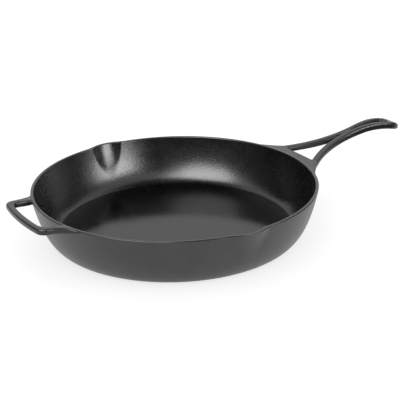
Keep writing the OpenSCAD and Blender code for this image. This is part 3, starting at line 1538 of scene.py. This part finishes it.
class Group(Shading):
    """A shared node group in the making."""

    def __init__(
        self, name: str, inputs: dict[str, float | None], outputs: Iterable[str]
    ) -> None:
        """Starts the group.

        Args:
            name: Name of the group.
            inputs: Default of each value that goes in, or None for a vector.
            outputs: Name of each value that comes out.
        """
        super().__init__(bpy.data.node_groups.new(name, "ShaderNodeTree"))
        sockets = self.tree.interface
        for key, value in inputs.items():
            kind = "NodeSocketVector" if value is None else "NodeSocketFloat"
            socket = sockets.new_socket(key, in_out="INPUT", socket_type=kind)
            if value is not None:
                socket.default_value = value
        for key in outputs:
            sockets.new_socket(key, in_out="OUTPUT", socket_type="NodeSocketFloat")
        self.given = self.add("NodeGroupInput").outputs
        self.out = self.add("NodeGroupOutput").inputs

    def scale(self, name: str) -> Socket:
        """Scale of a pattern from one of the inputs, its size in millimetres."""
        return self.math("DIVIDE", PER_METRE, self.given[name])


def sand_cast() -> Tree:
    """The pebbled skin that a sand mould leaves: rounded grains with finer grit between them.

    Returns:
        The node group.
    """
    swell_scale, grit_scale = 0.7, 2.6  # as shares of the pebbles' scale
    pebble_share, pebble_softness = 0.25, 0.6
    shallow, deep = 0.46, 0.3  # swell at which pits start and are full
    made = Group("sand_cast", {"Vector": None, "Grain": 1.5, "Grit": 0.3}, ["Height", "Pits"])
    place, scale = made.given["Vector"], made.scale("Grain")
    inputs = {"Vector": place, "Scale": scale, "Smoothness": pebble_softness}
    pebble = made.add("ShaderNodeTexVoronoi", inputs, feature="SMOOTH_F1").outputs["Distance"]
    swell = made.noise(place, made.math("MULTIPLY", scale, swell_scale), 2.5, 0.6)
    grit = made.noise(place, made.math("MULTIPLY", scale, grit_scale), 1.0, 0.5)
    rounded = made.math("MULTIPLY", made.math("SUBTRACT", 1.0, pebble), pebble_share)
    finer = made.math("MULTIPLY", grit, made.given["Grit"])
    made.put(made.out["Height"], made.math("ADD", made.math("ADD", rounded, swell), finer))
    made.put(made.out["Pits"], made.ramp(swell, shallow, deep))
    return made.tree


def seasoning() -> Tree:
    """Baked-on oil: broad cloudy patches, and small spots where it lies thicker.

    Returns:
        The node group.
    """
    spot_scale = 7.0  # as a share of the patches' scale
    patch_edge, spot_edge = (0.35, 0.65), (0.45, 0.62)
    made = Group("seasoning", {"Vector": None, "Cloud": 30.0}, ["Patches", "Spots"])
    place, scale = made.given["Vector"], made.scale("Cloud")
    cloud = made.noise(place, scale, 4.0, 0.6, bent=0.4)
    spot = made.noise(place, made.math("MULTIPLY", scale, spot_scale), 3.0, 0.55)
    made.put(made.out["Patches"], made.ramp(cloud, *patch_edge))
    made.put(made.out["Spots"], made.ramp(spot, *spot_edge))
    return made.tree


def edge_wear() -> Tree:
    """Bare, rubbed iron along the tight edges, broken up by the grain.

    Returns:
        The node group.
    """
    breakup_scale, breakup_share = 260.0, 0.8
    worn_from, worn_to = 0.35, 0.9
    made = Group("edge_wear", {"Vector": None, "Edge": 0.0, "Amount": 0.5}, ["Worn"])
    breakup = made.noise(made.given["Vector"], breakup_scale, 3.0, 0.6)
    uneven = made.math("MULTIPLY", made.math("SUBTRACT", breakup, 0.5), breakup_share)
    worn = made.ramp(made.math("ADD", made.given["Edge"], uneven), worn_from, worn_to)
    made.put(made.out["Worn"], made.math("MULTIPLY", worn, made.given["Amount"], clamp=True))
    return made.tree


def grey(tone: float) -> tuple[float, float, float, float]:
    """Neutral colour of one tone."""
    return (tone, tone, tone, 1.0)


def new_material(name: str) -> tuple[Material, Shading]:
    """Starts a material: the material and its empty desk of nodes.

    Args:
        name: Its name.

    Returns:
        The material, and its empty desk.
    """
    made = bpy.data.materials.new(name)
    made.use_nodes = True
    return made, Shading(made.node_tree)


@dataclass(frozen=True)
class IronGroups:
    """The node groups that every iron finish shares."""

    sand: Tree
    oil: Tree
    wear: Tree

    @classmethod
    def make(cls) -> "IronGroups":
        """Builds the groups once."""
        return cls(sand_cast(), seasoning(), edge_wear())


@dataclass(frozen=True)
class CastIron:
    """Seasoned cast iron.

    Args:
        name: Name of the finish.
        dark: Tone where the seasoning is thick.
        light: Tone where it is thin.
        cooked_and_shaded_dark: Tone where the surface is cooked on and the seasoning is thick,
            darkened further as painted shade.
        cooked_and_shaded_light: Tone where it is cooked on and thin, darkened further as painted
            shade.
        worn: Tone of rubbed edges.
        roughness: Roughness of the plain surface.
        used_roughness: Roughness where it is cooked on.
        grain: Size of the mould's grains in millimetres.
        grit: Share of finer grit.
        depth: Height of the grains.
        cloud: Size of the seasoning's patches in millimetres.
        wear: How much the edges are rubbed.
        ior: Index of refraction of the oiled surface.
        spotted: How much the small spots show.
        pitted: How much the pits darken.
        oiled: How much smoother the thick seasoning is.
        pit_roughness: How much rougher the pits are.
    """

    name: str
    dark: float = 0.020
    light: float = 0.032
    cooked_and_shaded_dark: float = 0.003
    cooked_and_shaded_light: float = 0.006
    worn: float = 0.05
    roughness: float = 0.38
    used_roughness: float = 0.29
    grain: float = 1.6
    grit: float = 0.3
    depth: float = 0.08 * MM
    cloud: float = 30.0
    wear: float = 0.5
    ior: float = 1.6
    spotted: float = 0.35
    pitted: float = 0.3
    oiled: float = 0.04
    pit_roughness: float = 0.06

    def material(self, groups: IronGroups) -> Material:
        """Builds the material.

        Args:
            groups: Shared node groups.

        Returns:
            The finish, ready to be put on a piece.
        """
        made, desk = new_material(self.name)
        place = desk.add("ShaderNodeTexCoord").outputs["Object"]
        edge, used = desk.attribute(Casting.WEAR), desk.attribute(Casting.USE)
        feeds = {
            groups.sand: {"Grain": self.grain, "Grit": self.grit},
            groups.oil: {"Cloud": self.cloud},
            groups.wear: {"Edge": edge, "Amount": self.wear},
        }
        sand, oil, wear = (
            desk.add("ShaderNodeGroup", {"Vector": place} | feed, node_tree=tree).outputs
            for tree, feed in feeds.items()
        )
        # Upward faces, by the used mark, blend to the darker cooked-on tones: cooked-on seasoning,
        # and painted shade as well.
        thin = desk.blend(used, grey(self.light), grey(self.cooked_and_shaded_light))
        thick = desk.blend(used, grey(self.dark), grey(self.cooked_and_shaded_dark))
        base = desk.blend(oil["Patches"], thin, thick)
        base = desk.blend(desk.math("MULTIPLY", oil["Spots"], self.spotted), base, thin)
        base = desk.blend(desk.math("MULTIPLY", sand["Pits"], self.pitted), base, thick)
        colour = desk.blend(wear["Worn"], base, grey(self.worn))
        satin = desk.ramp(used, 0.0, 1.0, self.roughness, self.used_roughness)
        smoother = desk.math("MULTIPLY", oil["Patches"], self.oiled)
        rougher = desk.math("MULTIPLY", sand["Pits"], self.pit_roughness)
        rough = desk.math("ADD", desk.math("SUBTRACT", satin, smoother), rougher)
        relief = {"Strength": 1.0, "Distance": self.depth, "Height": sand["Height"]}
        bump = desk.add("ShaderNodeBump", relief).outputs[0]
        skin = {"Base Color": colour, "Roughness": rough, "IOR": self.ior, "Normal": bump}
        shader = desk.add("ShaderNodeBsdfPrincipled", skin)
        desk.add("ShaderNodeOutputMaterial", {"Surface": shader.outputs[0]})
        return made


# ---- The studio --------------------------------------------------------------


def direction(azimuth: float, elevation: float) -> Vector:
    """Direction from an azimuth, from +Y towards +X, and an elevation, both in degrees."""
    a, e = math.radians(azimuth), math.radians(elevation)
    return Vector((math.sin(a) * math.cos(e), math.cos(a) * math.cos(e), math.sin(e)))


def sheet(name: str, middle: Vector, half: Vector) -> Object:
    """A level sheet round a middle, with half its length and width.

    Args:
        name: Name of the sheet.
        middle: Its middle.
        half: Half its length and half its width.

    Returns:
        The sheet.
    """
    place = Matrix.Translation(middle) @ Matrix.Diagonal((*half, 1, 1))
    bm = bmesh.new()
    bmesh.ops.create_grid(bm, x_segments=1, y_segments=1, size=1, matrix=place)
    return as_object(bm, name)


def only_mirrored(made: Object, tone: float) -> None:
    """Gives a card one tone, and hides it from all but reflections.

    Args:
        made: The card.
        tone: Its tone.
    """
    black, desk = new_material(made.name)
    matt = desk.add("ShaderNodeBsdfDiffuse", {"Color": grey(tone)})
    desk.add("ShaderNodeOutputMaterial", {"Surface": matt.outputs[0]})
    made.data.materials.append(black)
    made.visible_camera = made.visible_diffuse = made.visible_shadow = False
    made.visible_transmission = made.visible_volume_scatter = False


@dataclass(frozen=True)
class Card:
    """A curved card round the pan that only shows in reflections.

    Args:
        name: Name of the card.
        first: Azimuth at which it starts, in degrees.
        last: Azimuth at which it ends, in degrees.
        tone: Its tone.
        low: Elevation of its lower edge, in degrees.
        high: Elevation of its upper edge, in degrees.
        distance: How far off it stands.
        rows: Rows of faces from its lower to its upper edge.
        step: Azimuth that each face covers, in degrees.
    """

    name: str
    first: float
    last: float
    tone: float
    low: float = 0.5
    high: float = 38
    distance: float = 2.4
    rows: int = 6
    step: float = 5

    def build(self) -> None:
        """Adds the card."""
        rise, span = self.high - self.low, self.last - self.first
        levels = [self.low + rise * i / self.rows for i in range(self.rows + 1)]
        bm = bmesh.new()
        line = polyline(bm, [direction(self.first, level) * self.distance for level in levels])
        spun(bm, line + bm.verts[:], [(-math.radians(span), round(span / self.step))])
        only_mirrored(as_object(bm, self.name), self.tone)


@dataclass(frozen=True)
class Flag:
    """A dark sheet on the floor that only shows in reflections.

    Args:
        name: Name of the sheet.
        low: Its corner with the lowest X and Y.
        high: Its corner with the highest X and Y.
        tone: Its tone.
    """

    name: str
    low: Vector
    high: Vector
    tone: float

    def build(self) -> None:
        """Adds the sheet."""
        middle = ((self.low + self.high) / 2).to_3d() + Vector((0, 0, MM))
        only_mirrored(sheet(self.name, middle, (self.high - self.low) / 2), self.tone)


@dataclass(frozen=True)
class SoftBox:
    """A rectangular soft light that faces the pan and only shows in reflections.

    Args:
        name: Name of the light.
        azimuth: Its azimuth in degrees.
        elevation: Its elevation in degrees.
        distance: How far off it stands.
        width: Its width.
        height: Its height.
        brightness: Its brightness, where 1 is white paper.
    """

    name: str
    azimuth: float
    elevation: float
    distance: float
    width: float
    height: float
    brightness: float

    def build(self) -> None:
        """Adds the light."""
        lamp = bpy.data.lights.new(self.name, "AREA")
        lamp.shape, lamp.size, lamp.size_y = "RECTANGLE", self.width, self.height
        lamp.energy = self.brightness * math.pi * self.width * self.height
        made = bpy.data.objects.new(self.name, lamp)
        away = direction(self.azimuth, self.elevation)
        made.location = away * self.distance
        made.rotation_euler = away.to_track_quat("Z", "Y").to_euler()
        made.visible_camera = made.visible_diffuse = False
        bpy.context.scene.collection.objects.link(made)


REFLECTIONS = (
    Card("right_card", first=70, last=130, tone=0.35),
    Card("dark_card", first=130, last=345, tone=0.03),
    Card("ceiling_card", first=0, last=360, tone=0.05, low=60, high=90),
    Flag("flag", low=Vector((0.20, -0.70)), high=Vector((0.90, -0.075)), tone=0.03),
    SoftBox("key", -116, 47, distance=2.2, width=1.8, height=1.6, brightness=8.0),
    SoftBox("kicker", 153, 19, distance=2.0, width=1.3, height=0.8, brightness=10.5),
)


@dataclass(frozen=True)
class Studio:
    """Pale floor, plain soft light, dark cards for the reflections, and the camera.

    Args:
        focal: Focal length in millimetres.
        target: Point that the camera looks at.
        azimuth: Azimuth that the camera looks along, in degrees.
        elevation: Height of the camera above the level, in degrees.
        distance: Distance from the camera to the target.
        roll: Tilt of the camera in degrees.
        shift: Vertical shift of the frame.
        near: Nearest distance that the camera sees.
        far: Farthest distance that it sees.
        sky: Brightness of the surroundings as a light.
        floor_tone: Colour of the floor.
        floor_lift: Brightness added where the floor is seen.
        floor_reach: Half the width of the floor.
    """

    focal: float = 101.5
    target: Vector = Vector((0.0228, -0.0137, 0.045))
    azimuth: float = 31.0
    elevation: float = 21.8
    distance: float = 1.2
    roll: float = 1.27
    shift: float = -0.025
    near: float = 0.05
    far: float = 20.0
    sky: float = 0.8
    floor_tone: float = 0.5
    floor_lift: float = 0.70
    floor_reach: float = 6.0

    def _camera(self) -> None:
        """Adds the camera."""
        lens = bpy.data.cameras.new("camera")
        lens.lens, lens.shift_y = self.focal, self.shift
        lens.clip_start, lens.clip_end = self.near, self.far
        made = bpy.data.objects.new("camera", lens)
        away = direction(self.azimuth + 180, self.elevation)
        right = Vector((0, 0, 1)).cross(away).normalized()
        up = away.cross(right)
        tilt = math.radians(self.roll)
        across = right * math.cos(tilt) - up * math.sin(tilt)
        upright = up * math.cos(tilt) + right * math.sin(tilt)
        turned = Matrix((across, upright, away)).transposed().to_4x4()
        made.matrix_world = Matrix.Translation(self.target + away * self.distance) @ turned
        bpy.context.scene.collection.objects.link(made)
        bpy.context.scene.camera = made

    @staticmethod
    def _seen(desk: Shading) -> Socket:
        """1 for what is seen directly, in a reflection or through glass, and otherwise 0.

        Args:
            desk: Desk of the material or the surroundings.

        Returns:
            The value.
        """
        path = desk.add("ShaderNodeLightPath").outputs
        mirrored = desk.math("MAXIMUM", path["Is Glossy Ray"], path["Is Transmission Ray"])
        return desk.math("MAXIMUM", path["Is Camera Ray"], mirrored)

    def _world(self) -> None:
        """Sets a white background that lights the scene at a plain level."""
        world = bpy.data.worlds.new("surroundings")
        world.use_nodes = True
        desk = Shading(world.node_tree)
        level = desk.ramp(self._seen(desk), 0, 1, self.sky, 1)
        back = desk.add("ShaderNodeBackground", {"Color": grey(1), "Strength": level})
        desk.add("ShaderNodeOutputWorld", {"Surface": back.outputs[0]})
        bpy.context.scene.world = world

    def _floor(self) -> None:
        """Adds the pale floor."""
        made = sheet("floor", Vector(), Vector((self.floor_reach, self.floor_reach)))
        tone, desk = new_material("pale_floor")
        matt = desk.add("ShaderNodeBsdfDiffuse", {"Color": grey(self.floor_tone)})
        lift = desk.math("MULTIPLY", self._seen(desk), self.floor_lift)
        glow = desk.add("ShaderNodeEmission", {"Color": grey(1), "Strength": lift})
        both = desk.add("ShaderNodeAddShader", {0: matt.outputs[0], 1: glow.outputs[0]})
        desk.add("ShaderNodeOutputMaterial", {"Surface": both.outputs[0]})
        made.data.materials.append(tone)

    def build(self) -> None:
        """Builds the whole studio."""
        self._camera()
        self._world()
        self._floor()
        for item in REFLECTIONS:
            item.build()
        bpy.context.scene.view_settings.view_transform = "Standard"


def main() -> None:
    """Builds the pan, its handles and the studio."""
    groups = IronGroups.make()
    floor_iron = CastIron(
        "cooking_iron", grain=1.1, depth=0.02 * MM, used_roughness=0.14, wear=0.2, ior=1.37
    )
    wall_iron = CastIron("wall_iron")
    # The handle's dark and light tones sit far below the wall's: painted shade, standing in for the
    # dark reflections on the handle's sides.
    handle_iron = CastIron(
        "handle_iron", dark=0.003, light=0.007, roughness=0.34, depth=0.05 * MM, ior=1.55
    )
    pan = Pan(Measures.from_frame())
    pan.build(floor_iron.material(groups), wall_iron.material(groups))
    shade_darkened_handle_iron = handle_iron.material(groups)
    MainHandle.from_frame(pan).build(shade_darkened_handle_iron)
    AssistHandle.from_frame(pan).build(shade_darkened_handle_iron)
    Studio().build()


if __name__ == "__main__":
    main()
